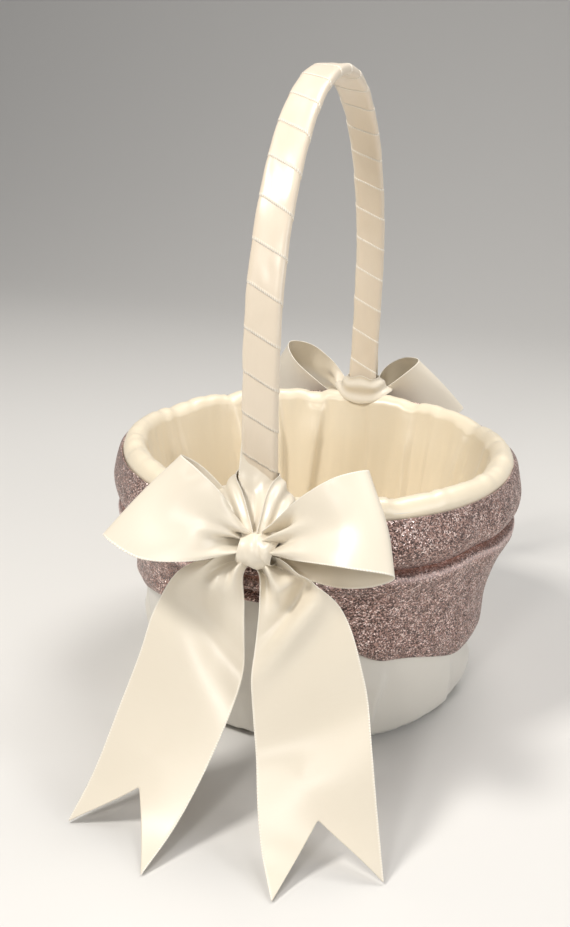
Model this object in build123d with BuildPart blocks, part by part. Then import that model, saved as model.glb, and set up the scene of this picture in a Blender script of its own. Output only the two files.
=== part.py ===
from build123d import *
import math
import os

# Flower girl basket: a woven splint basket with a fixed hoop handle, padded, lined and covered in satin.
# A glitter sash goes round the body, ribbon is wound round the handle, and a ribbon bow is tied at each foot
# of the handle. Millimetres, +Z up, origin on the floor at the middle of the foot. The handle spans Y, and -Y
# is the front.

# Driving dimensions
rim_radius = 81.0  # outside of the satin cover at rim_level
foot_radius = 66.0  # outside of the satin cover at foot_level
rim_level = 104.0
foot_level = 4.0
handle_top = 251.0  # middle of the handle's wood at its highest point
spring_level = 157.0  # where the legs turn into the arch
arch_bulge = 3.2  # how far the arch stands out past the rim on each side
ribbon_width = 38.0

# Layers of the wall, as depths inwards from the outside of the cover
cover_thickness = 0.6
weave_depth = 3.0  # middle of the woven wall
splint_thickness = 1.0
weaver_thickness = 0.8
weaver_swing = 1.5
padding_depth = (5.1, 8.6)
lining_depth = (8.8, 9.4)
lining_flap_depth = (0.7, 1.2)
leg_depth = (5.2, 7.6)

# Heights
board_levels = (1.4, 6.4)
board_edge_gap = 0.4  # between the floor's edge and the stakes
wood_top = 101.5
crest_base = 102.0  # where the padded rim starts to round over
lining_floor = (6.6, 7.2)
cover_top = 103.0
turn_under = 13.0  # width of the cover's edge under the foot

# Splints
stake_count = 18
stake_width = 9.0
weaver_count = 6
weaver_height = 12.0
weaver_pitch = 13.6
first_weaver_level = 9.0
hoop_levels = (91.5, wood_top)
outer_hoop_depth = (1.3, 2.3)
inner_hoop_depth = (3.7, 4.7)
tack_radius = 0.5
tack_length = 7.0
tack_hole_length = 12.0
brad_radius = 0.7
brad_length = 6.2
brad_inset = 2.5  # from the edges of the rim hoops
nail_head_thickness = 0.4
hole_clearance = 0.05
head_clearance = 0.25
from_end = (Align.CENTER, Align.CENTER, Align.MIN)

# Handle
hoop_width = 12.0
leg_end_level = 46.0
knee_level = 102.0  # below it the legs lean with the wall
wrap_thickness = 0.7
wrap_gap = 0.05
wrap_end_level = 102.6
wrap_grow = wrap_thickness + wrap_gap
leg_clearance = 0.3  # round the wrapped leg where it passes the padding and the lining

# Bows
ribbon_thickness = 0.8
knot_centre = (5.0, -92.5, 95.0)
knot_size = (13.0, 10.0, 11.0)
knot_rounding = 3.6
loop_reach = 57.0
loop_roundness = 8.5
loop_tilt = 15.0
tail_reach = 56.0

slope = (rim_radius - foot_radius) / (rim_level - foot_level)


def wall(level, depth):
    """Radius at a height, a depth inside the outer surface of the cover."""
    return foot_radius + slope * (level - foot_level) - depth


def save(builder, name):
    """Writes one finished sub-part."""
    builder.part.label = name
    export_step(builder.part, f"parts/{name}.step")


def make_base_board():
    """Plywood floor of the woven basket, its edge sloped like the wall."""
    low, high = board_levels
    edge_depth = weave_depth + splint_thickness / 2 + board_edge_gap
    with BuildPart() as board:
        with BuildSketch(Plane.XZ):
            Polygon(
                (0, low),
                (wall(low, edge_depth), low),
                (wall(high, edge_depth), high),
                (0, high),
                align=None,
            )
        revolve(axis=Axis.Z)
        with Locations(tack_plane()):
            tack_holes(tack_radius + hole_clearance)
    save(board, "base_board")


def tack_plane():
    """Level of the tacks that hold the stakes to the floor."""
    return Plane.XY.offset(sum(board_levels) / 2)


def tack_holes(radius):
    """Cuts a radial hole for each tack."""
    start = wall(board_levels[0], tack_length + 3)
    with PolarLocations(start, stake_count):
        Cylinder(radius, tack_hole_length, rotation=(0, 90, 0), align=from_end, mode=Mode.SUBTRACT)


def make_stakes():
    """Upright splints, nailed round the edge of the floor."""
    inner = weave_depth + splint_thickness / 2
    outer = weave_depth - splint_thickness / 2
    low = board_levels[0]
    with BuildPart() as stakes:
        with BuildSketch(Plane.XZ):
            Polygon(
                (wall(low, inner), low),
                (wall(low, outer), low),
                (wall(wood_top, outer), wood_top),
                (wall(wood_top, inner), wood_top),
                align=None,
            )
        extrude(amount=stake_width / 2, both=True)
        with Locations(tack_plane()):
            tack_holes(tack_radius + hole_clearance)
        one = stakes.part
        turned = [one.rotate(Axis.Z, 360 * i / stake_count) for i in range(1, stake_count)]
        add(turned)
    save(stakes, "stakes")


def make_base_tacks():
    """Tacks through the stakes into the floor's edge."""
    level = sum(board_levels) / 2
    head_at = wall(level, weave_depth - splint_thickness / 2 - head_clearance)
    with BuildPart(Plane.XY.offset(level)) as tacks:
        with PolarLocations(head_at, stake_count):
            Cylinder(tack_radius, tack_length, rotation=(0, -90, 0), align=from_end)
            Cylinder(2 * tack_radius, nail_head_thickness, rotation=(0, 90, 0), align=from_end)
    save(tacks, "base_tacks")


def woven_outline(level, swing, offset):
    """Points of a closed wavy line that passes outside and inside the stakes by turns."""
    steps = 4 * stake_count
    points = []
    for i in range(steps):
        turn = 2 * math.pi * i / steps
        radius = wall(level, weave_depth) + swing * math.cos(stake_count / 2 * turn) + offset
        points.append((radius * math.cos(turn), radius * math.sin(turn)))
    return points


def make_weavers():
    """Horizontal splints, each one ring, woven between the stakes."""
    for i in range(weaver_count):
        low = first_weaver_level + i * weaver_pitch
        swing = weaver_swing if i % 2 else -weaver_swing
        with BuildPart() as weaver:
            for offset, mode in ((weaver_thickness / 2, Mode.ADD), (-weaver_thickness / 2, Mode.SUBTRACT)):
                for level in (low, low + weaver_height):
                    with BuildSketch(Plane.XY.offset(level)):
                        with BuildLine():
                            Spline(*woven_outline(level, swing, offset), periodic=True)
                        make_face()
                loft(ruled=True, mode=mode)
        save(weaver, f"weaver_{i + 1}")


def make_rim_hoops():
    """Two flat hoops that clamp the tops of the stakes."""
    low, high = hoop_levels
    for name, (outer, inner) in (("rim_hoop_outer", outer_hoop_depth), ("rim_hoop_inner", inner_hoop_depth)):
        with BuildPart() as hoop:
            with BuildSketch(Plane.XZ):
                Polygon(
                    (wall(low, inner), low),
                    (wall(low, outer), low),
                    (wall(high, outer), high),
                    (wall(high, inner), high),
                    align=None,
                )
            revolve(axis=Axis.Z)
            brad_holes()
        save(hoop, name)


def brad_levels():
    """Heights of the two brads in each leg of the handle."""
    low, high = hoop_levels
    return (low + brad_inset, high - brad_inset)


def brad_holes():
    """Cuts the holes for the handle's brads, right through front and back."""
    for level in brad_levels():
        with Locations((0, 0, level)):
            Cylinder(
                brad_radius + hole_clearance, 2 * rim_radius + 4, rotation=(90, 0, 0), mode=Mode.SUBTRACT
            )


def handle_solid(grow, width):
    """The hoop, grown by an amount on both faces: legs that follow the wall, then an arch."""
    middle = wall(knee_level, sum(leg_depth) / 2)
    half = (leg_depth[1] - leg_depth[0]) / 2 + grow
    rise = handle_top - spring_level
    cut_level = leg_end_level - 3
    with BuildPart() as solid:
        with BuildSketch(Plane.YZ):
            for face, low, mode in ((half, leg_end_level, Mode.ADD), (-half, cut_level, Mode.SUBTRACT)):
                knee = middle + face
                reach = knee + arch_bulge
                foot = knee - slope * (knee_level - low)
                with BuildLine():
                    EllipticalCenterArc((0, spring_level), reach, rise + face, 0, arc_size=180)
                    TangentArc((-reach, spring_level), (-knee, knee_level), tangent=(0, -1))
                    Polyline((-knee, knee_level), (-foot, low), (foot, low), (knee, knee_level))
                    TangentArc((reach, spring_level), (knee, knee_level), tangent=(0, -1))
                make_face(mode=mode)
        extrude(amount=width / 2, both=True)
    return solid.part


def make_handle():
    """Bent wood hoop, with its legs inside the wall, and the ribbon wound round it above the rim."""
    wood = handle_solid(0, hoop_width)
    with BuildPart() as hoop:
        add(wood)
        brad_holes()
    save(hoop, "handle_hoop")

    wound = handle_solid(wrap_grow, hoop_width + 2 * wrap_grow)
    hollow = handle_solid(wrap_gap, hoop_width + 2 * wrap_gap)
    with BuildPart() as ribbon:
        add(wound)
        add(hollow, mode=Mode.SUBTRACT)
        split(bisect_by=Plane.XY.offset(wrap_end_level), keep=Keep.TOP)
    save(ribbon, "handle_ribbon")


def make_handle_brads():
    """Two brads through each leg and both rim hoops."""
    with BuildPart() as brads:
        for level in brad_levels():
            head_at = wall(level, leg_depth[1] + head_clearance)
            with Locations(Plane.XY.offset(level)):
                with PolarLocations(head_at, 2, start_angle=90):
                    Cylinder(brad_radius, brad_length, rotation=(0, 90, 0), align=from_end)
                    Cylinder(2 * brad_radius, nail_head_thickness, rotation=(0, -90, 0), align=from_end)
    save(brads, "handle_brads")


def leg_slots():
    """Cuts the two openings that the wrapped legs rise through."""
    middle = wall(crest_base + 2, sum(leg_depth) / 2)
    low = crest_base - 1
    slot_width = hoop_width + 2 * wrap_grow + 2 * leg_clearance
    slot_depth = leg_depth[1] - leg_depth[0] + 2 * wrap_grow + 2 * leg_clearance
    with Locations((0, middle, low), (0, -middle, low)):
        Box(slot_width, slot_depth, 20, align=from_end, mode=Mode.SUBTRACT)


def make_wall_padding():
    """Batting inside the woven wall, which also rounds over its top edge."""
    near, far = padding_depth
    low = board_levels[1] + 0.1
    tip = lining_flap_depth[1] + 0.2
    crest = (wall(crest_base, far), wall(crest_base, tip))
    leg_space = handle_solid(0.25, hoop_width + 2 * leg_clearance)
    brad_span = 2 * (rim_radius - leg_depth[1]) + 1
    brad_notch = 4.0
    with BuildPart() as padding:
        with BuildSketch(Plane.XZ):
            with BuildLine():
                Polyline(
                    (crest[0], crest_base),
                    (wall(low, far), low),
                    (wall(low, near), low),
                    (wall(crest_base, near), crest_base),
                    (crest[1], crest_base),
                )
                ThreePointArc(
                    (crest[1], crest_base),
                    (sum(crest) / 2, crest_base + (crest[1] - crest[0]) / 2),
                    (crest[0], crest_base),
                )
            make_face()
        revolve(axis=Axis.Z)
        leg_slots()
        add(leg_space, mode=Mode.SUBTRACT)
        for level in brad_levels():
            with Locations((0, 0, level)):
                Box(brad_notch, brad_span, brad_notch, mode=Mode.SUBTRACT)
    save(padding, "wall_padding")


def make_lining():
    """Satin lining: floor, inside wall, over the padded rim, and a flap turned down outside."""
    outer, inner = lining_depth
    flap_outer, flap_inner = lining_flap_depth
    flap_low = crest_base - 8
    outer_crest = (wall(crest_base, outer), wall(crest_base, flap_inner))
    inner_crest = (wall(crest_base, inner), wall(crest_base, flap_outer))
    with BuildPart() as lining:
        with BuildSketch(Plane.XZ):
            with BuildLine():
                Polyline(
                    (inner_crest[0], crest_base),
                    (wall(lining_floor[1], inner), lining_floor[1]),
                    (0, lining_floor[1]),
                    (0, lining_floor[0]),
                    (wall(lining_floor[0], outer), lining_floor[0]),
                    (outer_crest[0], crest_base),
                )
                ThreePointArc(
                    (outer_crest[0], crest_base),
                    (sum(outer_crest) / 2, crest_base + (outer_crest[1] - outer_crest[0]) / 2),
                    (outer_crest[1], crest_base),
                )
                Polyline(
                    (outer_crest[1], crest_base),
                    (wall(flap_low, flap_inner), flap_low),
                    (wall(flap_low, flap_outer), flap_low),
                    (inner_crest[1], crest_base),
                )
                ThreePointArc(
                    (inner_crest[1], crest_base),
                    (sum(inner_crest) / 2, crest_base + (inner_crest[1] - inner_crest[0]) / 2),
                    (inner_crest[0], crest_base),
                )
            make_face()
        revolve(axis=Axis.Z)
        leg_slots()
    save(lining, "lining")


def make_floor_pad():
    """Satin-covered card that lies on the lining's floor and hides its gathers."""
    low = lining_floor[1] + 0.1
    thickness = 2.4
    edge_gap = 0.8
    with BuildPart() as pad:
        with Locations((0, 0, low)):
            Cylinder(wall(low, lining_depth[1]) - edge_gap, thickness, align=from_end)
        fillet(pad.edges().group_by(Axis.Z)[-1], thickness / 3)
    save(pad, "floor_pad")


def make_outer_cover():
    """Satin skirt outside the woven wall, turned under the foot."""
    corner = foot_level
    skin = cover_thickness
    with BuildPart() as cover:
        with BuildSketch(Plane.XZ):
            with BuildLine():
                edge = foot_radius - corner
                Line((edge - turn_under, 0), (edge, 0))
                ThreePointArc(
                    (edge, 0),
                    (edge + corner * math.sin(math.pi / 4), corner - corner * math.cos(math.pi / 4)),
                    (foot_radius, foot_level),
                )
                Polyline(
                    (foot_radius, foot_level),
                    (wall(cover_top, 0), cover_top),
                    (wall(cover_top, skin), cover_top),
                    (foot_radius - skin, foot_level),
                )
                ThreePointArc(
                    (foot_radius - skin, foot_level),
                    (
                        edge + (corner - skin) * math.sin(math.pi / 4),
                        corner - (corner - skin) * math.cos(math.pi / 4),
                    ),
                    (edge, skin),
                )
                Polyline((edge, skin), (edge - turn_under, skin), (edge - turn_under, 0))
            make_face()
        revolve(axis=Axis.Z)
    save(cover, "outer_cover")


def make_bottom_disc():
    """Card disc glued under the foot, inside the turned-under edge of the cover."""
    edge_gap = 0.3
    thickness = 1.2
    with BuildPart() as disc:
        Cylinder(foot_radius - foot_level - turn_under - edge_gap, thickness, align=from_end)
    save(disc, "bottom_disc")


def make_sash():
    """Glitter sash: a puffed band below the rim, then a flat band to an edge that droops at the sides."""
    skin = 0.8
    top = cover_top + 0.6
    puff_level, tuck_level, low = 86.0, 64.0, 20.0
    puff, tuck = 7.0, 1.6
    edge_gap = 0.4
    # lower edge as seen from the front: across, and up
    hem = [(-95, 46), (-45, 44), (0, 66), (45, 38), (95, 22)]

    def side(offset):
        return [
            (wall(top, -edge_gap) + offset, top),
            (wall(puff_level + 9, -puff * 0.7) + offset, puff_level + 9),
            (wall(puff_level, -puff) + offset, puff_level),
            (wall(tuck_level + 8, -puff * 0.6) + offset, tuck_level + 8),
            (wall(tuck_level, -tuck) + offset, tuck_level),
            (wall(low, -edge_gap) + offset, low),
        ]

    inside, outside = side(0), side(skin)
    with BuildPart() as sash:
        with BuildSketch(Plane.XZ):
            with BuildLine():
                Spline(*inside[:5])
                Polyline(*inside[4:], *reversed(outside[4:]))
                Spline(*reversed(outside[:5]))
                Line(outside[0], inside[0])
            make_face()
        revolve(axis=Axis.Z)
        with BuildSketch(Plane.XZ):
            with BuildLine():
                Spline(*hem)
                Polyline(hem[-1], (hem[-1][0], 0), (hem[0][0], 0), hem[0])
            make_face()
        extrude(amount=100, both=True, mode=Mode.SUBTRACT)
    save(sash, "sash")


def facing(turn, origin, x_dir, z_dir):
    """A plane given for the front bow, turned about Z for the other one."""
    return Plane(
        origin=Vector(*origin).rotate(Axis.Z, turn),
        x_dir=Vector(*x_dir).rotate(Axis.Z, turn),
        z_dir=Vector(*z_dir).rotate(Axis.Z, turn),
    )


def make_bow_loop(name, turn, side):
    """One loop of ribbon: a flattened ring that narrows to the knot."""
    tilt = math.radians(loop_tilt)
    along = (side * math.cos(tilt), 0, math.sin(tilt))
    across = (-side * math.sin(tilt), 0, math.cos(tilt))
    start = knot_size[0] / 2 + 0.5
    nose = 1.6  # radius of the fold beside the knot
    half = ribbon_width / 2
    widening = 0.62 * loop_reach  # where the ribbon has its full width
    gathered = 4.5  # half of its width at the knot
    ring = facing(turn, knot_centre, along, across)
    outline = facing(turn, knot_centre, along, (0, -1, 0))
    with BuildPart() as loop:
        with BuildSketch(ring):
            with Locations((start + nose, 0)):
                Circle(nose)
            with Locations((loop_reach - loop_roundness, 0)):
                Circle(loop_roundness)
            make_hull()
            offset(amount=-ribbon_thickness, mode=Mode.SUBTRACT)
        extrude(amount=half, both=True)
        with BuildSketch(outline):
            Polygon(
                (start - 1, -gathered),
                (widening, -half),
                (loop_reach + 2, -half),
                (loop_reach + 2, half),
                (widening, half),
                (start - 1, gathered),
                align=None,
            )
        extrude(amount=30, both=True, mode=Mode.INTERSECT)
    save(loop, name)


def make_bow_tail(name, turn, side, swing, aside):
    """One tail: it falls from the knot, curves out over the floor and ends in a swallowtail cut."""
    reach = tail_reach
    heading = math.radians(swing)
    forward = (math.sin(heading), -math.cos(heading), 0)
    across = (math.cos(heading), math.sin(heading), 0)
    start = (knot_centre[0] + aside, knot_centre[1], 0)
    top = knot_centre[2] - knot_size[2] / 2 - 1.0
    knot_at = -aside * math.cos(heading)
    half = ribbon_width / 2
    side_view = facing(turn, start, forward, (-across[0], -across[1], 0))
    front_view = facing(turn, start, across, forward)
    top_view = facing(turn, start, forward, (0, 0, 1)).offset(-1)
    gathered = 4.0  # half of the ribbon's width at the knot
    cut_plane = facing(turn, (knot_centre[0] + side * 0.3, 0, 0), (0, 1, 0), (side, 0, 0))
    # shares of the reach and of the drop that the ribbon's curve passes through
    fall = ((0, 1), (0.14, 0.72), (0.34, 0.36), (0.62, 3.2 / top), (1, 0))
    lower = [(x * reach, z * top) for x, z in fall]
    upper = [(x + ribbon_thickness, z + ribbon_thickness) for x, z in lower]
    with BuildPart() as tail:
        with BuildSketch(side_view):
            with BuildLine():
                Spline(*lower, tangents=[(0.2, -1), (1, 0)])
                Spline(*upper, tangents=[(0.2, -1), (1, 0)])
                Line(lower[0], upper[0])
                Line(lower[-1], upper[-1])
            make_face()
        extrude(amount=half, both=True)
        with BuildSketch(front_view):
            Polygon(
                (knot_at - gathered, top + 2),
                (-half, top * 0.6),
                (-half, -1),
                (half, -1),
                (half, top * 0.6),
                (knot_at + gathered, top + 2),
                align=None,
            )
        extrude(amount=reach + 20, both=True, mode=Mode.INTERSECT)
        with BuildSketch(top_view):
            Polygon((reach - half + 1, 0), (reach + 5, half + 4), (reach + 5, -half - 4), align=None)
        extrude(amount=20, mode=Mode.SUBTRACT)
        split(bisect_by=cut_plane, keep=Keep.TOP)
    save(tail, name)


def make_bow_tie(name, turn):
    """The ribbon that passes behind the leg and comes over the rim on both sides to lie behind the knot."""
    behind = 2.6 - wall(rim_level, leg_depth[1])
    front = -5.4 - rim_radius
    skin = ribbon_thickness
    crest = crest_base + 5.4
    bend_level = crest - 8
    shoulder = 2.5
    strap_low = knot_centre[2] - 3.5
    strap_height = 7.0
    arm_start = hoop_width / 2 + wrap_thickness + 0.6
    arm_width = 7.0
    strap_width = 2 * (arm_start + arm_width)
    arm_plane = facing(turn, (0, 0, 0), (0, 1, 0), (1, 0, 0))
    with BuildPart() as tie:
        with BuildSketch(arm_plane.offset(arm_start)):
            with BuildLine():
                Polyline((front, strap_low), (front, bend_level), (front + shoulder, crest), (behind, crest))
                Line((behind, crest), (behind, crest + skin))
                Polyline(
                    (behind, crest + skin),
                    (front + shoulder - skin / 2, crest + skin),
                    (front - skin, bend_level),
                    (front - skin, strap_low),
                    (front, strap_low),
                )
            make_face()
        extrude(amount=arm_width)
        mirror(about=arm_plane)
        with Locations(facing(turn, (0, behind, crest), (1, 0, 0), (0, 0, 1))):
            Box(strap_width, skin, strap_height, align=(Align.CENTER, Align.MIN, Align.MIN))
        with Locations(facing(turn, (0, front, strap_low), (1, 0, 0), (0, 0, 1))):
            Box(strap_width, skin, strap_height, align=(Align.CENTER, Align.MAX, Align.MIN))
    save(tie, name)


def make_bow_knot(name, turn):
    """The tight knot at the middle of a bow."""
    with BuildPart() as knot:
        with Locations(facing(turn, knot_centre, (1, 0, 0), (0, 0, 1))):
            Box(*knot_size)
        fillet(knot.edges(), knot_rounding)
    save(knot, name)


def make_bows():
    """The front bow, and the same bow turned half round for the back."""
    for end, turn in (("front", 0), ("back", 180)):
        make_bow_knot(f"{end}_bow_knot", turn)
        make_bow_tie(f"{end}_bow_tie", turn)
        make_bow_loop(f"{end}_bow_loop_left", turn, side=-1)
        make_bow_loop(f"{end}_bow_loop_right", turn, side=1)
        make_bow_tail(f"{end}_bow_tail_left", turn, side=-1, swing=-24, aside=-9)
        make_bow_tail(f"{end}_bow_tail_right", turn, side=1, swing=35, aside=12)


os.makedirs("parts", exist_ok=True)
make_base_board()
make_stakes()
make_base_tacks()
make_weavers()
make_rim_hoops()
make_handle()
make_handle_brads()
make_wall_padding()
make_lining()
make_floor_pad()
make_outer_cover()
make_bottom_disc()
make_sash()
make_bows()
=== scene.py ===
import math
import random

import bmesh
import bpy
from mathutils import Matrix, Vector, noise


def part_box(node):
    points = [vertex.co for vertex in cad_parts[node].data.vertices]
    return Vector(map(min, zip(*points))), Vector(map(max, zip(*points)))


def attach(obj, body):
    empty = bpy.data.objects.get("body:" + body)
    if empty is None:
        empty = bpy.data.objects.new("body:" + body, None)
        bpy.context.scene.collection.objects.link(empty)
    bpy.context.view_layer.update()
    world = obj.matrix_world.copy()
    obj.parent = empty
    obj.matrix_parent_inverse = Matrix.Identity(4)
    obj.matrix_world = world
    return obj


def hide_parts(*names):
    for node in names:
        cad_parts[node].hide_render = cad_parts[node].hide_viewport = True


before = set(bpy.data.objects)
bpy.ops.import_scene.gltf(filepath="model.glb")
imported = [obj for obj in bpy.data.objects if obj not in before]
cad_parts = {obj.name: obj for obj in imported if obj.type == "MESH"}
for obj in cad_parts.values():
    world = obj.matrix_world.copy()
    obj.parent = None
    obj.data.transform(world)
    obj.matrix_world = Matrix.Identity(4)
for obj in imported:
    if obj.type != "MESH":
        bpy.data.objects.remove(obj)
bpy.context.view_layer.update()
mm = 0.001

# The basket's own sizes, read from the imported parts
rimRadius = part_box("outer_cover")[1].x
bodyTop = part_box("outer_cover")[1].z
discInset = 17.3 * mm
coverFoot = {"radius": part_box("bottom_disc")[1].x + discInset, "level": 4 * mm}
wallSlope = (rimRadius - coverFoot["radius"]) / (bodyTop - coverFoot["level"])
ribbonWidth = 38 * mm


def wallRadius(level, depth=0.0):
    return coverFoot["radius"] + wallSlope * (level - coverFoot["level"]) - depth


# The camera, the paper that the basket stands on, and the lights
view = {
    "camera": (110.8 * mm, -405.9 * mm, 237.1 * mm),
    "forward": (-0.2788, 0.9049, -0.3218),
    "roll": 2.0,
    "lens": 40.8,
}


def setCamera():
    camera = bpy.data.objects.new("viewCamera", bpy.data.cameras.new("viewCamera"))
    bpy.context.scene.collection.objects.link(camera)
    forward = Vector(view["forward"]).normalized()
    turn = forward.to_track_quat("-Z", "Y")
    camera.matrix_world = (
        Matrix.Translation(Vector(view["camera"]))
        @ turn.to_matrix().to_4x4()
        @ Matrix.Rotation(math.radians(view["roll"]), 4, "Z")
    )
    camera.data.lens = view["lens"]
    camera.data.clip_start = 0.01
    bpy.context.scene.camera = camera


def areaLight(name, place, size, power, colour):
    light = bpy.data.objects.new(name, bpy.data.lights.new(name, "AREA"))
    light.data.shape = "RECTANGLE"
    light.data.size, light.data.size_y = size
    light.data.energy = power
    light.data.color = colour
    light.location = place
    light.rotation_euler = (Vector(studio["middle"]) - Vector(place)).to_track_quat("-Z", "Y").to_euler()
    bpy.context.scene.collection.objects.link(light)


lamps = {
    "windowLight": {
        "place": (-0.42, -0.52, 1.00), "size": (0.20, 0.20), "power": 8.0, "colour": (1.0, 0.965, 0.91),
    },
    "topLight": {
        "place": (0.20, 0.25, 1.1), "size": (0.5, 0.5), "power": 6.6, "colour": (1.0, 0.97, 0.93),
    },
    "sideLight": {
        "place": (0.9, -0.30, 0.40), "size": (0.30, 0.45), "power": 2.6, "colour": (0.97, 0.98, 1.0),
    },
    "frontLight": {
        "place": (-0.05, -0.95, 0.62), "size": (0.14, 0.14), "power": 2.3, "colour": (1.0, 0.97, 0.93),
    },
}
studio = {
    "floorColour": (0.70, 0.69, 0.67, 1),
    "worldColour": (0.95, 0.95, 0.97, 1),
    "worldStrength": 0.24,
    "middle": (0, 0, 0.09),
    "size": 3.0,
    "steps": 90,
    "sweepStart": 0.8,
    "sweepRadius": 0.9,
}


def linkPiece(name, bm, material):
    mesh = bpy.data.meshes.new(name)
    bm.to_mesh(mesh)
    bm.free()
    for polygon in mesh.polygons:
        polygon.use_smooth = True
    piece = bpy.data.objects.new(name, mesh)
    bpy.context.scene.collection.objects.link(piece)
    mesh.materials.append(material)
    return piece


def makeStudio():
    bm = bmesh.new()
    bmesh.ops.create_grid(bm, x_segments=1, y_segments=studio["steps"], size=studio["size"])
    quarter = math.pi / 2 * studio["sweepRadius"]
    for vert in bm.verts:
        # the paper runs flat under the basket, then sweeps up behind it
        beyond = vert.co.y - studio["sweepStart"]
        if beyond > 0:
            turn = min(beyond, quarter) / studio["sweepRadius"]
            vert.co.y = studio["sweepStart"] + studio["sweepRadius"] * math.sin(turn)
            vert.co.z = studio["sweepRadius"] * (1 - math.cos(turn)) + max(beyond - quarter, 0)
    paper = newMaterial("studioPaper", studio["floorColour"], 0.9)[0]
    linkPiece("studioFloor", bm, paper)

    world = bpy.data.worlds.new("studioWorld")
    world.use_nodes = True
    world.node_tree.nodes["Background"].inputs["Color"].default_value = studio["worldColour"]
    world.node_tree.nodes["Background"].inputs["Strength"].default_value = studio["worldStrength"]
    bpy.context.scene.world = world

    for name, light in lamps.items():
        areaLight(name, **light)
    bpy.context.scene.view_settings.view_transform = "Standard"


# Node groups hold the effects that several materials share
def newGroup(name, sockets):
    group = bpy.data.node_groups.new(name, "ShaderNodeTree")
    for direction, socketName, kind, value in sockets:
        socket = group.interface.new_socket(name=socketName, in_out=direction, socket_type=kind)
        if value is not None:
            socket.default_value = value
    inward = group.nodes.new("NodeGroupInput")
    outward = group.nodes.new("NodeGroupOutput")
    return group, inward, outward


def newMaterial(name, colour, roughness):
    material = bpy.data.materials.new(name)
    material.use_nodes = True
    nodes, links = material.node_tree.nodes, material.node_tree.links
    shader = nodes["Principled BSDF"]
    shader.inputs["Base Color"].default_value = colour
    shader.inputs["Roughness"].default_value = roughness
    return material, nodes, links, shader


def mathNode(nodes, links, operation, first, second=None, clamp=False):
    node = nodes.new("ShaderNodeMath")
    node.operation = operation
    node.use_clamp = clamp
    for socket, value in zip(node.inputs, (first, second)):
        if value is None:
            continue
        if isinstance(value, (int, float)):
            socket.default_value = value
        else:
            links.new(value, socket)
    return node.outputs[0]


def mixColour(nodes, links, factor, first, second):
    node = nodes.new("ShaderNodeMix")
    node.data_type = "RGBA"
    for socket, value in ((node.inputs[0], factor), (node.inputs[6], first), (node.inputs[7], second)):
        if isinstance(value, (int, float, tuple)):
            socket.default_value = value
        else:
            links.new(value, socket)
    return node.outputs[2]


def noiseNode(nodes, links, vector, scale, detail):
    node = nodes.new("ShaderNodeTexNoise")
    node.inputs["Scale"].default_value = scale
    node.inputs["Detail"].default_value = detail
    links.new(vector, node.inputs["Vector"])
    return node


def rangeNode(nodes, links, value, source=(0.0, 1.0), target=(0.0, 1.0), kind="LINEAR"):
    node = nodes.new("ShaderNodeMapRange")
    node.interpolation_type = kind
    node.inputs["From Min"].default_value, node.inputs["From Max"].default_value = source
    node.inputs["To Min"].default_value, node.inputs["To Max"].default_value = target
    links.new(value, node.inputs["Value"])
    return node


def bumpNode(nodes, links, height, strength, distance):
    node = nodes.new("ShaderNodeBump")
    node.inputs["Strength"].default_value = strength
    node.inputs["Distance"].default_value = distance
    links.new(height, node.inputs["Height"])
    return node


def satinGroup():
    # fine grain along the yarns, slubs across them and soft mottling;
    # Cloth is the place on the flat cloth, in metres
    group, inward, outward = newGroup("satinFace", (
        ("INPUT", "Cloth", "NodeSocketVector", None),
        ("INPUT", "Object", "NodeSocketVector", None),
        ("INPUT", "Colour", "NodeSocketColor", (0.9, 0.85, 0.75, 1)),
        ("INPUT", "Shadow Colour", "NodeSocketColor", (0.8, 0.7, 0.55, 1)),
        ("INPUT", "Mottle", "NodeSocketFloat", 0.35),
        ("OUTPUT", "Colour", "NodeSocketColor", None),
        ("OUTPUT", "Roughness", "NodeSocketFloat", None),
        ("OUTPUT", "Height", "NodeSocketFloat", None),
    ))
    nodes, links = group.nodes, group.links
    stretch = nodes.new("ShaderNodeMapping")
    stretch.inputs["Scale"].default_value = (5200, 700, 1)
    links.new(inward.outputs["Cloth"], stretch.inputs["Vector"])
    yarn = noiseNode(nodes, links, stretch.outputs[0], 1.0, 3.0)
    slub = nodes.new("ShaderNodeMapping")
    slub.inputs["Scale"].default_value = (160, 2600, 1)
    links.new(inward.outputs["Cloth"], slub.inputs["Vector"])
    weft = noiseNode(nodes, links, slub.outputs[0], 1.0, 2.0)
    cloud = noiseNode(nodes, links, inward.outputs["Object"], 42.0, 4.0)
    patchy = mathNode(nodes, links, "MULTIPLY", cloud.outputs[0], inward.outputs["Mottle"])
    streaky = mathNode(nodes, links, "MULTIPLY", weft.outputs[0], 0.16)
    tint = mathNode(nodes, links, "ADD", patchy, streaky, clamp=True)
    links.new(
        mixColour(nodes, links, tint, inward.outputs["Colour"], inward.outputs["Shadow Colour"]),
        outward.inputs["Colour"],
    )
    fromMottle = mathNode(nodes, links, "MULTIPLY", cloud.outputs[0], 0.12)
    fromYarn = mathNode(nodes, links, "MULTIPLY", yarn.outputs[0], 0.10)
    rough = mathNode(nodes, links, "ADD", fromMottle, fromYarn)
    links.new(mathNode(nodes, links, "ADD", rough, 0.23, clamp=True), outward.inputs["Roughness"])
    slubs = mathNode(nodes, links, "MULTIPLY", weft.outputs[0], 0.5)
    links.new(mathNode(nodes, links, "ADD", yarn.outputs[0], slubs), outward.inputs["Height"])
    return group


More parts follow.
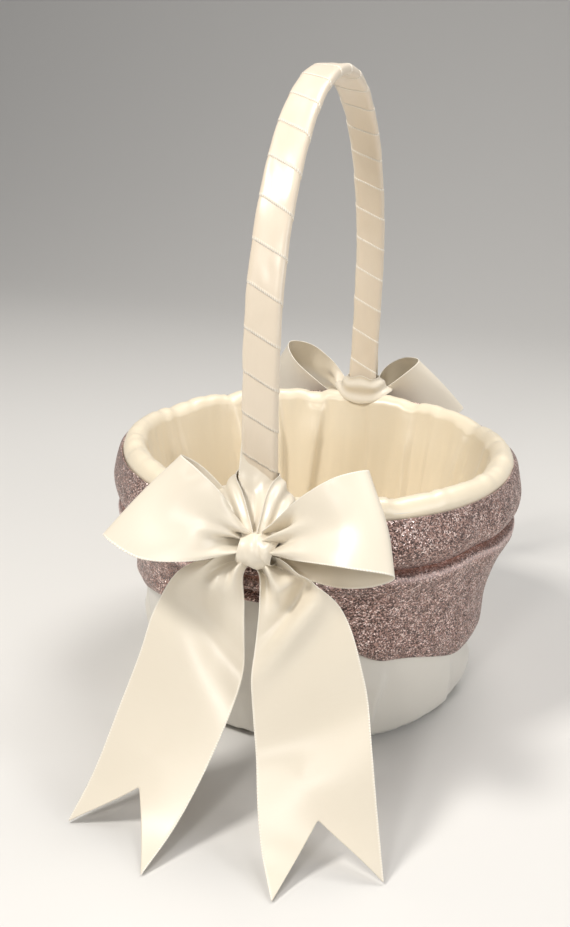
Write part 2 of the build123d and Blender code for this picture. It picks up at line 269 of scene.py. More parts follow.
def selvageGroup():
    # woven edge of a ribbon: a narrow raised cord with close picks across it
    group, inward, outward = newGroup("ribbonSelvage", (
        ("INPUT", "Cloth", "NodeSocketVector", None),
        ("INPUT", "Width", "NodeSocketFloat", ribbonWidth),
        ("INPUT", "Edge", "NodeSocketFloat", 1.0 * mm),
        ("INPUT", "Pick", "NodeSocketFloat", 0.8 * mm),
        ("OUTPUT", "Mask", "NodeSocketFloat", None),
        ("OUTPUT", "Height", "NodeSocketFloat", None),
    ))
    nodes, links = group.nodes, group.links
    split = nodes.new("ShaderNodeSeparateXYZ")
    links.new(inward.outputs["Cloth"], split.inputs[0])
    far = mathNode(nodes, links, "SUBTRACT", inward.outputs["Width"], split.outputs["X"])
    near = mathNode(nodes, links, "MINIMUM", split.outputs["X"], far)
    ramp = rangeNode(nodes, links, near, target=(1.0, 0.0), kind="SMOOTHSTEP")
    links.new(inward.outputs["Edge"], ramp.inputs["From Max"])
    links.new(ramp.outputs[0], outward.inputs["Mask"])
    turns = mathNode(nodes, links, "DIVIDE", split.outputs["Y"], inward.outputs["Pick"])
    wave = mathNode(nodes, links, "SINE", mathNode(nodes, links, "MULTIPLY", turns, 2 * math.pi))
    picks = mathNode(nodes, links, "ADD", mathNode(nodes, links, "MULTIPLY", wave, 0.5), 0.8)
    links.new(mathNode(nodes, links, "MULTIPLY", picks, ramp.outputs[0]), outward.inputs["Height"])
    return group


def glitterGroup():
    # lame cloth: tiny flakes at every angle over a dark ground
    group, inward, outward = newGroup("glitterFlakes", (
        ("INPUT", "Object", "NodeSocketVector", None),
        ("INPUT", "Ground", "NodeSocketColor", (0.075, 0.042, 0.036, 1)),
        ("INPUT", "Flake", "NodeSocketColor", (0.47, 0.30, 0.255, 1)),
        ("INPUT", "Spark", "NodeSocketColor", (1.0, 0.82, 0.77, 1)),
        ("INPUT", "Scale", "NodeSocketFloat", 2400.0),
        ("OUTPUT", "Colour", "NodeSocketColor", None),
        ("OUTPUT", "Metal", "NodeSocketFloat", None),
        ("OUTPUT", "Roughness", "NodeSocketFloat", None),
        ("OUTPUT", "Normal", "NodeSocketVector", None),
    ))
    nodes, links = group.nodes, group.links
    cells = nodes.new("ShaderNodeTexVoronoi")
    cells.feature = "F1"
    links.new(inward.outputs["Object"], cells.inputs["Vector"])
    links.new(inward.outputs["Scale"], cells.inputs["Scale"])
    pick = nodes.new("ShaderNodeSeparateColor")
    links.new(cells.outputs["Color"], pick.inputs[0])
    patch = noiseNode(nodes, links, inward.outputs["Object"], 240.0, 3.0)
    centred = mathNode(nodes, links, "SUBTRACT", patch.outputs[0], 0.5)
    shift = mathNode(nodes, links, "MULTIPLY", centred, 0.7)
    chance = mathNode(nodes, links, "ADD", pick.outputs[0], shift)
    flake = rangeNode(nodes, links, chance, source=(0.30, 0.62))
    spark = rangeNode(nodes, links, chance, source=(0.80, 0.97))
    colour = mixColour(nodes, links, flake.outputs[0], inward.outputs["Ground"], inward.outputs["Flake"])
    colour = mixColour(nodes, links, spark.outputs[0], colour, inward.outputs["Spark"])
    links.new(colour, outward.inputs["Colour"])
    metal = mathNode(nodes, links, "MULTIPLY", flake.outputs[0], 0.75)
    links.new(metal, outward.inputs["Metal"])
    polish = mathNode(nodes, links, "MULTIPLY", spark.outputs[0], 0.2)
    rough = mathNode(nodes, links, "SUBTRACT", 0.55, polish)
    links.new(rough, outward.inputs["Roughness"])
    tilt = nodes.new("ShaderNodeVectorMath")
    tilt.operation = "SUBTRACT"
    links.new(cells.outputs["Color"], tilt.inputs[0])
    tilt.inputs[1].default_value = (0.5, 0.5, 0.5)
    lean = nodes.new("ShaderNodeVectorMath")
    lean.operation = "SCALE"
    links.new(tilt.outputs[0], lean.inputs[0])
    lean.inputs["Scale"].default_value = 0.9
    facing = nodes.new("ShaderNodeNewGeometry")
    total = nodes.new("ShaderNodeVectorMath")
    total.operation = "ADD"
    links.new(facing.outputs["Normal"], total.inputs[0])
    links.new(lean.outputs[0], total.inputs[1])
    unit = nodes.new("ShaderNodeVectorMath")
    unit.operation = "NORMALIZE"
    links.new(total.outputs[0], unit.inputs[0])
    links.new(unit.outputs[0], outward.inputs["Normal"])
    return group


def grainGroup():
    # long streaks along one axis, for splints, plywood and bent wood
    group, inward, outward = newGroup("woodGrain", (
        ("INPUT", "Object", "NodeSocketVector", None),
        ("INPUT", "Stretch", "NodeSocketVector", (900, 900, 60)),
        ("INPUT", "Pale", "NodeSocketColor", (0.74, 0.57, 0.36, 1)),
        ("INPUT", "Dark", "NodeSocketColor", (0.48, 0.32, 0.17, 1)),
        ("OUTPUT", "Colour", "NodeSocketColor", None),
        ("OUTPUT", "Height", "NodeSocketFloat", None),
    ))
    nodes, links = group.nodes, group.links
    stretch = nodes.new("ShaderNodeVectorMath")
    stretch.operation = "MULTIPLY"
    links.new(inward.outputs["Object"], stretch.inputs[0])
    links.new(inward.outputs["Stretch"], stretch.inputs[1])
    grain = noiseNode(nodes, links, stretch.outputs[0], 1.0, 6.0)
    grain.inputs["Roughness"].default_value = 0.6
    links.new(
        mixColour(nodes, links, grain.outputs[0], inward.outputs["Pale"], inward.outputs["Dark"]),
        outward.inputs["Colour"],
    )
    links.new(grain.outputs[0], outward.inputs["Height"])
    return group


satinFace = satinGroup()
ribbonSelvage = selvageGroup()
glitterFlakes = glitterGroup()
woodGrain = grainGroup()


def placeGroup(nodes, group, **values):
    node = nodes.new("ShaderNodeGroup")
    node.node_tree = group
    for name, value in values.items():
        node.inputs[name.replace("_", " ")].default_value = value
    return node


def satinMaterial(name, colour, shadowColour, mottle=0.35, selvage=None, sheen=0.25):
    material, nodes, links, shader = newMaterial(name, colour, 0.35)
    coordinates = nodes.new("ShaderNodeTexCoord")
    face = placeGroup(nodes, satinFace, Colour=colour, Shadow_Colour=shadowColour, Mottle=mottle)
    links.new(coordinates.outputs["UV"], face.inputs["Cloth"])
    links.new(coordinates.outputs["Object"], face.inputs["Object"])
    links.new(face.outputs["Colour"], shader.inputs["Base Color"])
    links.new(face.outputs["Roughness"], shader.inputs["Roughness"])
    normal = bumpNode(nodes, links, face.outputs["Height"], 0.22, 0.07 * mm).outputs[0]
    if selvage:
        sizes = {"Width": selvage["width"], "Edge": selvage["edge"], "Pick": selvage["pick"]}
        edge = placeGroup(nodes, ribbonSelvage, **sizes)
        links.new(coordinates.outputs["UV"], edge.inputs["Cloth"])
        ribs = bumpNode(nodes, links, edge.outputs["Height"], selvage["strength"], 0.25 * mm)
        links.new(normal, ribs.inputs["Normal"])
        normal = ribs.outputs[0]
        matte = mathNode(nodes, links, "MULTIPLY", edge.outputs["Mask"], 0.25)
        rough = mathNode(nodes, links, "ADD", face.outputs["Roughness"], matte, clamp=True)
        links.new(rough, shader.inputs["Roughness"])
        # the edge cord is painted paler: partly the selvage thread's own colour, partly a painted highlight
        # along the lit edge
        paleEdgeMix = mathNode(nodes, links, "MULTIPLY", edge.outputs["Height"], 0.75, clamp=True)
        links.new(
            mixColour(nodes, links, paleEdgeMix, face.outputs["Colour"], selvage["colour"]),
            shader.inputs["Base Color"],
        )
    links.new(normal, shader.inputs["Normal"])
    shader.inputs["Sheen Weight"].default_value = sheen
    shader.inputs["Sheen Roughness"].default_value = 0.35
    shader.inputs["Anisotropic"].default_value = 0.55
    shader.inputs["Specular IOR Level"].default_value = 0.70
    return material


ivory = {
    "ribbon": (0.80, 0.735, 0.615, 1),
    "ribbonShade": (0.72, 0.63, 0.49, 1),
    "handle": (0.80, 0.705, 0.575, 1),
    "handleShade": (0.70, 0.58, 0.43, 1),
    # the lining is yellower than the ribbon: partly the cloth's own cream, partly painted warm light bounced
    # round inside the basket
    "lining": (0.82, 0.735, 0.575, 1),
    "liningShade": (0.74, 0.62, 0.44, 1),
    "cover": (0.74, 0.71, 0.645, 1),
    "coverShade": (0.65, 0.61, 0.53, 1),
    # paler edge colour: partly the selvage thread, partly a painted highlight on the lit edge
    "threadAndLitEdge": (0.97, 0.93, 0.84, 1),
}
bowSelvage = {
    "width": ribbonWidth,
    "edge": 0.9 * mm,
    "pick": 0.7 * mm,
    "strength": 0.5,
    "colour": ivory["threadAndLitEdge"],
}
windSelvage = {
    "width": 20 * mm,
    "edge": 1.5 * mm,
    "pick": 0.85 * mm,
    "strength": 0.7,
    "colour": ivory["threadAndLitEdge"],
}
bowSatin = satinMaterial("bowSatin", ivory["ribbon"], ivory["ribbonShade"], 0.30, bowSelvage)
handleSatin = satinMaterial("handleSatin", ivory["handle"], ivory["handleShade"], 0.35, windSelvage)
liningSatin = satinMaterial("liningSatin", ivory["lining"], ivory["liningShade"], 0.30)
coverSatin = satinMaterial("coverSatin", ivory["cover"], ivory["coverShade"], 0.35)


paintedFoldLight = {
    # distance down the band, half width, colour and strength; the first row is painted shade and bounce
    # light in the tuck of the fold, the second a painted highlight along the fold's nose
    "paintedShadeAndHighlight": (
        (28.5 * mm, 4.0 * mm, (0.55, 0.23, 0.15, 1), 0.42),
        (36.0 * mm, 4.5 * mm, (1.0, 0.78, 0.75, 1), 0.42),
    ),
}


def glitterMaterial():
    material, nodes, links, shader = newMaterial("roseGlitter", (0.4, 0.25, 0.22, 1), 0.5)
    coordinates = nodes.new("ShaderNodeTexCoord")
    flakes = placeGroup(nodes, glitterFlakes)
    links.new(coordinates.outputs["Object"], flakes.inputs["Object"])
    cloth = nodes.new("ShaderNodeSeparateXYZ")
    links.new(coordinates.outputs["UV"], cloth.inputs[0])
    colour = flakes.outputs["Colour"]
    for centre, spread, tint, strength in paintedFoldLight["paintedShadeAndHighlight"]:
        # painted shade and bounce light: warmer where the band is tucked into its fold; painted highlight:
        # pinker along the fold's nose
        signed = mathNode(nodes, links, "SUBTRACT", cloth.outputs["Y"], centre)
        away = mathNode(nodes, links, "ABSOLUTE", signed)
        near = rangeNode(nodes, links, away, (0.0, spread), (strength, 0.0), "SMOOTHSTEP")
        colour = mixColour(nodes, links, near.outputs[0], colour, tint)
    links.new(colour, shader.inputs["Base Color"])
    links.new(flakes.outputs["Metal"], shader.inputs["Metallic"])
    links.new(flakes.outputs["Roughness"], shader.inputs["Roughness"])
    links.new(flakes.outputs["Normal"], shader.inputs["Normal"])
    shader.inputs["Sheen Weight"].default_value = 0.15
    return material


roseGlitter = glitterMaterial()


def woodMaterial(name, stretch, pale, dark):
    material, nodes, links, shader = newMaterial(name, pale, 0.7)
    coordinates = nodes.new("ShaderNodeTexCoord")
    grain = placeGroup(nodes, woodGrain, Stretch=stretch, Pale=pale, Dark=dark)
    links.new(coordinates.outputs["Object"], grain.inputs["Object"])
    links.new(grain.outputs["Colour"], shader.inputs["Base Color"])
    bump = bumpNode(nodes, links, grain.outputs["Height"], 0.4, 0.15 * mm)
    links.new(bump.outputs[0], shader.inputs["Normal"])
    return material


def speckledMaterial(name, pale, dark, scale, roughness, metallic=0.0):
    # felted, pulped or scratched stuff: one noise for both colour and bumps
    material, nodes, links, shader = newMaterial(name, pale, roughness)
    coordinates = nodes.new("ShaderNodeTexCoord")
    fine = noiseNode(nodes, links, coordinates.outputs["Object"], scale, 5.0)
    links.new(mixColour(nodes, links, fine.outputs[0], pale, dark), shader.inputs["Base Color"])
    bump = bumpNode(nodes, links, fine.outputs[0], 0.5, 0.3 * mm)
    links.new(bump.outputs[0], shader.inputs["Normal"])
    shader.inputs["Metallic"].default_value = metallic
    return material


hiddenFinishes = {
    "base_board": woodMaterial("plywoodSheet", (60, 900, 900), (0.70, 0.55, 0.36, 1), (0.52, 0.37, 0.22, 1)),
    "stakes": woodMaterial("stakeSplint", (900, 900, 50), (0.72, 0.56, 0.35, 1), (0.50, 0.34, 0.18, 1)),
    "wall_padding": speckledMaterial(
        "cottonBatting", (0.90, 0.90, 0.87, 1), (0.74, 0.73, 0.70, 1), scale=900, roughness=0.95
    ),
    "bottom_disc": speckledMaterial(
        "whiteCard", (0.86, 0.84, 0.79, 1), (0.72, 0.69, 0.63, 1), scale=1400, roughness=0.85
    ),
    "base_tacks": speckledMaterial(
        "tackSteel", (0.62, 0.62, 0.64, 1), (0.45, 0.45, 0.48, 1), scale=2500, roughness=0.35, metallic=1.0
    ),
}
bentSplint = woodMaterial("bentSplint", (300, 300, 900), (0.73, 0.57, 0.36, 1), (0.51, 0.35, 0.19, 1))


def finishHiddenParts():
    hiddenFinishes["handle_brads"] = hiddenFinishes["base_tacks"]
    for name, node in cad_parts.items():
        finish = hiddenFinishes.get(name)
        if name.startswith("weaver") or name.startswith("rim_hoop") or name == "handle_hoop":
            finish = bentSplint
        if finish:
            node.data.materials.clear()
            node.data.materials.append(finish)


def alongPoints(points, share):
    # smooth line through a few points: where it is at a share of the way
    last = len(points) - 1
    place = min(max(share, 0.0), 1.0) * last
    i = min(int(place), last - 1)
    f = place - i
    p1, p2 = points[i], points[i + 1]
    p0 = points[i - 1] if i > 0 else 2 * p1 - p2
    p3 = points[i + 2] if i + 2 <= last else 2 * p2 - p1
    bend = 2 * p0 - 5 * p1 + 4 * p2 - p3 + f * (3 * p1 - p0 - 3 * p2 + p3)
    return 0.5 * (2 * p1 + f * (p2 - p0 + f * bend))


def smoothStep(low, high, value):
    f = min(max((value - low) / (high - low), 0.0), 1.0)
    return f * f * (3 - 2 * f)


def ringSpot(radius, turn, level):
    return Vector((radius * math.cos(turn), radius * math.sin(turn), level))


def ringNoise(spread, turn, third):
    # comes round to its own start, so that a closed sheet has no step at its seam
    return noise.noise(ringSpot(spread, turn, third))


def clothGrid(columns, rows, place, flat, closed=False, notch=0.0):
    # a woven sheet laid out flat by an operator, then every crossing is put where place(u, v) says;
    # notch is the depth of the V cut into its far end, as a share of its length
    bm = bmesh.new()
    clothMap = bm.loops.layers.uv.new("clothMap")
    bmesh.ops.create_grid(bm, x_segments=columns, y_segments=rows, size=0.5)
    for vert in bm.verts:
        # rows near the far end lean into the V
        vert.co.y -= smoothStep(0.55, 1.0, vert.co.y + 0.5) * notch * (1 - abs(vert.co.x) * 2)
    for face in bm.faces:
        for loop in face.loops:
            loop[clothMap].uv = ((loop.vert.co.x + 0.5) * flat[0], (loop.vert.co.y + 0.5) * flat[1])
    for vert in bm.verts:
        vert.co = place(vert.co.x + 0.5, vert.co.y + 0.5)
    if closed:
        bmesh.ops.remove_doubles(bm, verts=bm.verts, dist=0.005 * mm)
    bmesh.ops.recalc_face_normals(bm, faces=bm.faces)
    return bm


def ringSheet(sizes, place):
    # a sheet that goes once round the basket, and its length round
    around = 2 * math.pi * sizes["meanRadius"]
    bm = clothGrid(sizes["columns"], sizes["rows"], place, (around, sizes["length"]), closed=True)
    return bm, around


def finishCloth(name, bm, material, thickness, smooth=0, outward=0.0):
    # smooth is the number of subdivisions; outward 0 keeps the sheet in the middle of its thickness
    piece = linkPiece(name, bm, material)
    if smooth:
        surface = piece.modifiers.new("soften", "SUBSURF")
        surface.levels = surface.render_levels = smooth
    shell = piece.modifiers.new("clothThickness", "SOLIDIFY")
    shell.thickness = thickness
    shell.offset = outward
    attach(piece, "root")
    return piece


# Ribbon wound round the bent wood of the handle
handle = {
    "halfWidth": 6.35 * mm,
    "halfDepth": 1.75 * mm,
    "cornerRadius": 1.65 * mm,
    "pitch": 14.6 * mm,
    "overlap": 0.28,
    "lift": 0.27 * mm,  # how far each lap stands over the last
    "springLevel": 157 * mm,
    "kneeLevel": 102 * mm,
    "bulge": 3.2 * mm,
    "hubDepth": 60 * mm,
    "wrapDepth": 1.95 * mm,
    "puff": 0.26 * mm,
    "puffLength": 7 * mm,
    "turnLength": 34 * mm,
    "ribbonShows": 19.8 * mm,
    "slack": 1.06,
    "thickness": 0.30 * mm,
    "stepsAround": 34,
    "stepsAcross": 9,
}
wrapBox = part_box("handle_ribbon")


def archSamples():
    # middle line of the handle in its own plane, from the front foot over the top to the back foot
    reach = wrapBox[1].y - handle["wrapDepth"]
    top = wrapBox[1].z - handle["wrapDepth"]
    low = wrapBox[0].z - 1.0 * mm
    legHeight = handle["springLevel"] - handle["kneeLevel"]
    line = []
    for i in range(60):
        level = low + (handle["springLevel"] - low) * i / 60
        lean = handle["bulge"] * ((handle["springLevel"] - level) / legHeight) ** 2
        line.append(Vector((0, -(reach - lean), level)))
    rise = top - handle["springLevel"]
    for i in range(241):
        turn = math.pi * (1 - i / 240)
        line.append(Vector((0, reach * math.cos(turn), handle["springLevel"] + rise * math.sin(turn))))
    line.extend(Vector((0, -p.y, p.z)) for p in reversed(line[:60]))
    return line


def measured(line):
    # running length at each sample
    lengths = [0.0]
    for a, b in zip(line, line[1:]):
        lengths.append(lengths[-1] + (b - a).length)
    return lengths


def bandOutline(share):
    # point on the rounded outline of the wrapped wood, x across and y outwards, and its outward direction
    a, b, r = handle["halfWidth"], handle["halfDepth"], handle["cornerRadius"]
    flat, side, arc = 2 * (a - r), 2 * (b - r), math.pi / 2 * r
    distance = (share % 1.0) * 2 * (flat + side + 2 * arc)
    corners = ((a - r, b - r, 0), (-(a - r), b - r, 90), (-(a - r), -(b - r), 180), (a - r, -(b - r), 270))
    runs = (flat, side, flat, side)
    for (cx, cy, start), run in zip(corners, runs):
        if distance <= arc:
            turn = math.radians(start) + distance / r
            away = Vector((math.cos(turn), math.sin(turn)))
            return Vector((cx, cy)) + r * away, away
        distance -= arc
        turn = math.radians(start + 90)
        away = Vector((math.cos(turn), math.sin(turn)))
        if distance <= run:
            return Vector((cx, cy)) + r * away + distance * Vector((-away.y, away.x)), away
        distance -= run
    return Vector((a, b - r)), Vector((1, 0))


def makeHandleRibbon():
    line = archSamples()
    lengths = measured(line)
    total = lengths[-1]
    turns = total / handle["pitch"]
    outline = [bandOutline(i / handle["stepsAround"]) for i in range(handle["stepsAround"] + 1)]

    def atLength(s):
        s = min(max(s, 0.0), total)
        low, high = 0, len(lengths) - 1
        while high - low > 1:
            middle = (low + high) // 2
            low, high = (middle, high) if lengths[middle] <= s else (low, middle)
        f = (s - lengths[low]) / (lengths[high] - lengths[low])
        along = (line[high] - line[low]).normalized()
        return line[low].lerp(line[high], f), along

    def wound(u, v):
        around = v * (turns + 1)
        across = u * (1 + handle["overlap"])
        wobble = 0.05 * noise.noise(Vector((around * 0.7, 3.1, 0)))
        s = handle["pitch"] * (around - 1 + across + wobble)
        middle, along = atLength(s)
        outwards = Vector((0, along.z, -along.y))
        fromHub = Vector((0, middle.y, middle.z - handle["springLevel"] + handle["hubDepth"]))
        if outwards.dot(fromHub) < 0:
            outwards = -outwards
        share = around % 1.0 * handle["stepsAround"]
        i = min(int(share), handle["stepsAround"] - 1)
        spot = outline[i][0].lerp(outline[i + 1][0], share - i)
        away = outline[i][1].lerp(outline[i + 1][1], share - i).normalized()
        lap = 2 * math.pi * around
        ripple = Vector((s / handle["puffLength"], 1.5 * math.cos(lap), 1.5 * math.sin(lap)))
        puff = handle["puff"] * noise.noise(ripple)
        lift = handle["lift"] * (1 - across / (1 + handle["overlap"])) + puff
        spot = spot + away * lift
        return middle + Vector((1, 0, 0)) * spot.x + outwards * spot.y

    rows = int((turns + 1) * handle["stepsAround"])
    length = (turns + 1) * handle["turnLength"]
    flat = (handle["pitch"] * (1 + handle["overlap"]) * handle["slack"], length)
    bm = clothGrid(handle["stepsAcross"], rows, wound, flat)
    piece = finishCloth("handleRibbon", bm, handleSatin, handle["thickness"], smooth=1)
    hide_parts("handle_ribbon")
    print("handle ribbon:", round(turns), "turns")
    return piece


def pleatLine(seed, count, spread, widths, heights):
    # places and sizes of soft pleats round the basket
    random.seed(seed)
    pleats = []
    for i in range(count):
        pleats.append({
            "turn": 2 * math.pi * (i + random.uniform(-spread, spread)) / count,
            "slant": random.uniform(-1, 1),
            "width": random.uniform(*widths),
            "height": random.uniform(*heights),
            "side": random.choice((-1, 1)),
            "end": random.uniform(0.0, 0.35),
        })
    return pleats


def pleatHeight(pleats, turn, rise, radius, slant):
    # steep on one side, long and soft on the other
    total = 0.0
    for pleat in pleats:
        centre = pleat["turn"] + slant * pleat["slant"] * (1 - rise)
        away = (turn - centre + math.pi) % (2 * math.pi) - math.pi
        away *= radius * pleat["side"]
        width = pleat["width"] * (0.14 if away < 0 else 1.0)
        if abs(away) > 3.2 * pleat["width"]:
            continue
        grown = smoothStep(pleat["end"] - 0.3, pleat["end"] + 0.2, rise)
        total += pleat["height"] * math.exp(-((away / width) ** 2)) * grown
    return total


lining = {
    "wallDepth": 9.3 * mm,
    "flapDepth": -0.2 * mm,
    "floorLevel": 7.3 * mm,
    "crestBase": 101.5 * mm,
    "flapEnd": 95 * mm,
    "soft": 1.6 * mm,
    "lump": 0.8 * mm,
    "pucker": 0.55 * mm,
    "thickness": 0.35 * mm,
    "meanRadius": 66 * mm,
    "length": 130 * mm,
    "gathering": 1.15,
    "columns": 330,
    "rows": 60,
    "pleats": pleatLine(11, 20, 0.42, (4.5 * mm, 10 * mm), (1.4 * mm, 4.2 * mm)),
}


def makeLining():
    inner = wallRadius(lining["crestBase"], lining["wallDepth"])
    outer = wallRadius(lining["crestBase"], lining["flapDepth"])
    floorEdge = wallRadius(lining["floorLevel"], lining["wallDepth"] + 1 * mm)
    section = [
        Vector((floorEdge - 12 * mm, 0, lining["floorLevel"])),
        Vector((floorEdge - 2 * mm, 0, lining["floorLevel"] + 0.3 * mm)),
        Vector((wallRadius(12 * mm, lining["wallDepth"]), 0, 12 * mm)),
    ]
    for i in range(1, 8):
        level = 12 * mm + (lining["crestBase"] - 12 * mm) * i / 8
        section.append(Vector((wallRadius(level, lining["wallDepth"]), 0, level)))
    middle, half = (inner + outer) / 2, (outer - inner) / 2
    for i in range(7):
        turn = math.pi * (1 - i / 6)
        across = middle + half * math.cos(turn)
        section.append(Vector((across, 0, lining["crestBase"] + 1.2 * half * math.sin(turn))))
    section.append(Vector((wallRadius(lining["flapEnd"], lining["flapDepth"]), 0, lining["flapEnd"])))

    def place(u, v):
        turn = 2 * math.pi * u
        spot = alongPoints(section, v)
        rise = min(max((spot.z - 8 * mm) / (lining["crestBase"] - 8 * mm), 0.0), 1.0)
        inside = smoothStep(outer - 1.5 * half, inner, spot.x) if spot.z > lining["crestBase"] else 1.0
        inside *= 1.0 if spot.x < middle or spot.z > lining["crestBase"] else 0.0
        fold = pleatHeight(lining["pleats"], turn, rise, spot.x, 0.16)
        broad = ringNoise(4, turn, 16 * spot.z)
        soft = lining["soft"] * max(broad, 0)
        lump = lining["lump"] * ringNoise(4.5, turn, 5)
        top = smoothStep(0.82, 1.0, rise)
        fine = ringNoise(17, turn, 2.5 * v)
        pucker = lining["pucker"] * max(fine, -0.2)
        radius = spot.x - inside * (fold * (1 - 0.62 * top) + soft * (1 - top) + pucker)
        crest = 1.0 if spot.z > lining["crestBase"] else 0.0
        level = spot.z + top * (1.3 * lump - 0.32 * fold - pucker) * crest
        return ringSpot(radius, turn, level)

    bm, around = ringSheet(lining, place)
    piece = finishCloth("satinLining", bm, liningSatin, lining["thickness"])
    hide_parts("lining")
    print("lining made")
    return piece


cover = {
    "columns": 330,
    "rows": 46,
    "cornerRadius": 5.6 * mm,
    "turnUnder": 16 * mm,
    "standOff": 0.3 * mm,
    "underLevel": 0.35 * mm,
    "puff": 0.8 * mm,
    "gather": 0.35 * mm,
    "gathers": 46,
    "thickness": 0.35 * mm,
    "meanRadius": 74 * mm,
    "length": 132 * mm,
    "gathering": 1.1,
    "pleats": pleatLine(5, 15, 0.4, (6 * mm, 12 * mm), (1.0 * mm, 2.4 * mm)),
}


def frontAngle(turn):
    # degrees round from the front towards +X
    return (math.degrees(math.atan2(math.cos(turn), -math.sin(turn))) + 180) % 360 - 180


def makeCover():
    corner, off, under = cover["cornerRadius"], cover["standOff"], cover["underLevel"]
    footEdge = wallRadius(corner) - corner
    section = [Vector((wallRadius(bodyTop, off), 0, bodyTop))]
    for i in range(1, 9):
        level = bodyTop - (bodyTop - corner) * i / 9
        section.append(Vector((wallRadius(level, off), 0, level)))
    for i in range(6):
        turn = -math.pi / 2 * i / 5
        across = footEdge + (corner - off) * math.cos(turn)
        section.append(Vector((across, 0, corner + (corner - 0.4 * mm) * math.sin(turn))))
    section.append(Vector((footEdge - cover["turnUnder"] / 2, 0, under)))
    section.append(Vector((footEdge - cover["turnUnder"] + 4 * mm, 0, under)))

    def place(u, v):
        turn = 2 * math.pi * u
        spot = alongPoints(section, v)
        drop = min(max(spot.z / bodyTop, 0.0), 1.0)
        fold = pleatHeight(cover["pleats"], turn, 1 - drop, spot.x, 0.5)
        hem = ringLevel(sash["hem"], frontAngle(turn))
        free = 1 - smoothStep(hem - 13 * mm, hem - 2 * mm, spot.z)
        billow = ringNoise(2, turn, 20 * spot.z)
        puff = cover["puff"] * (1 + billow)
        puff *= smoothStep(0.0, 0.12, drop)
        fold, puff = fold * free, puff * free
        ripple = math.sin(cover["gathers"] * turn + 3 * math.sin(5 * turn))
        gather = cover["gather"] * ripple * smoothStep(0.10, 0.0, drop)
        radius = spot.x + (fold + puff) * smoothStep(0.0, 0.06, drop)
        level = max(spot.z + max(gather, 0.0) + 0.4 * fold * smoothStep(0.08, 0.0, drop), 0.25 * mm)
        return ringSpot(radius, turn, level)

    bm, around = ringSheet(cover, place)
    piece = finishCloth("satinCover", bm, coverSatin, cover["thickness"])
    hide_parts("outer_cover")
    print("outer cover made")
    return piece


sash = {
    "columns": 360,
    "rows": 78,
    "ridgeLevel": 79 * mm,
    # lower edge: degrees round from the front towards +X, and level
    "hem": (
        (-180, 60), (-130, 38), (-75, 43), (-35, 52), (0, 66),
        (40, 40), (75, 30), (110, 24), (150, 38), (180, 60),
    ),
    # upper edge, the same way
    "top": ((-180, 105.5), (-90, 104), (-30, 101), (0, 100), (45, 101), (110, 104), (180, 105.5)),
    # share of the way down from the top to the fold, and millimetres that the cloth stands off the wall
    "upper": (
        (0.0, 0.9), (0.10, 1.9), (0.28, 3.6), (0.48, 5.3),
        (0.66, 5.6), (0.80, 4.4), (0.90, 2.7), (0.955, 2.2),
    ),
    # the same from the fold to the hem
    "lower": (
        (0.0, 6.2), (0.05, 6.5), (0.12, 5.4), (0.24, 3.5), (0.42, 2.0),
        (0.60, 1.3), (0.74, 2.0), (0.86, 2.6), (0.94, 1.9), (1.0, 1.0),
    ),
    "lip": (0.2, 5.4),
    "soft": 0.8 * mm,
    "bunch": 1.3 * mm,
    "bunchAngle": 20,
    "topLean": 2.6 * mm,
    "length": 72 * mm,
    "meanRadius": 80 * mm,
    "thickness": 0.5 * mm,
}


def ringLevel(stations, azimuth):
    for (a, low), (b, high) in zip(stations, stations[1:]):
        if a <= azimuth <= b:
            f = (azimuth - a) / (b - a)
            return mm * (low + (high - low) * (f * f * (3 - 2 * f)))
    return mm * stations[0][1]


def makeSash():
    def place(u, v):
        turn = 2 * math.pi * u
        azimuth = frontAngle(turn)
        wander = ringSpot(1.6, turn, 0.5)
        ridge = sash["ridgeLevel"] + 2.2 * mm * noise.noise(wander * 1.7)
        ridge -= 3.5 * mm * math.exp(-((azimuth / 28) ** 2))
        top = ringLevel(sash["top"], azimuth)
        hem = ringLevel(sash["hem"], azimuth) + 1.0 * mm * noise.noise(wander * 2)
        section = []
        for share, off in sash["upper"]:
            section.append(Vector((off * mm, 0, top + (ridge + 0.6 * mm - top) * share)))
        section.append(Vector((sash["lip"][1] * mm, 0, ridge + sash["lip"][0] * mm)))
        for share, off in sash["lower"]:
            section.append(Vector((off * mm, 0, ridge - 0.8 * mm + (hem - ridge + 0.8 * mm) * share)))
        spot = alongPoints(section, v)
        fuller = 0.85 + 0.3 * noise.noise(wander * 2.6 + Vector((4, 0, 0)))
        soft = sash["soft"] * ringNoise(5, turn, 26 * spot.z)
        near = math.exp(-((azimuth / sash["bunchAngle"]) ** 2))
        bunch = near * sash["bunch"] * math.sin(spot.z / mm * 1.15 + 0.16 * azimuth)
        away = spot.x * fuller + soft * smoothStep(0.0, 0.1, v) * smoothStep(1.0, 0.93, v) + bunch
        lean = sash["topLean"] * smoothStep(101.5 * mm, 105.5 * mm, spot.z)
        radius = wallRadius(spot.z) + max(away, 0.5 * mm) - lean
        return ringSpot(radius, turn, spot.z)

    bm, around = ringSheet(sash, place)
    piece = finishCloth("glitterSash", bm, roseGlitter, sash["thickness"], outward=1.0)
    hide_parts("sash")
    print("sash made")
    return piece


floorPad = {"inset": 0.6 * mm, "segments": 96, "edge": 0.9 * mm, "rings": 5, "swell": 0.25 * mm}


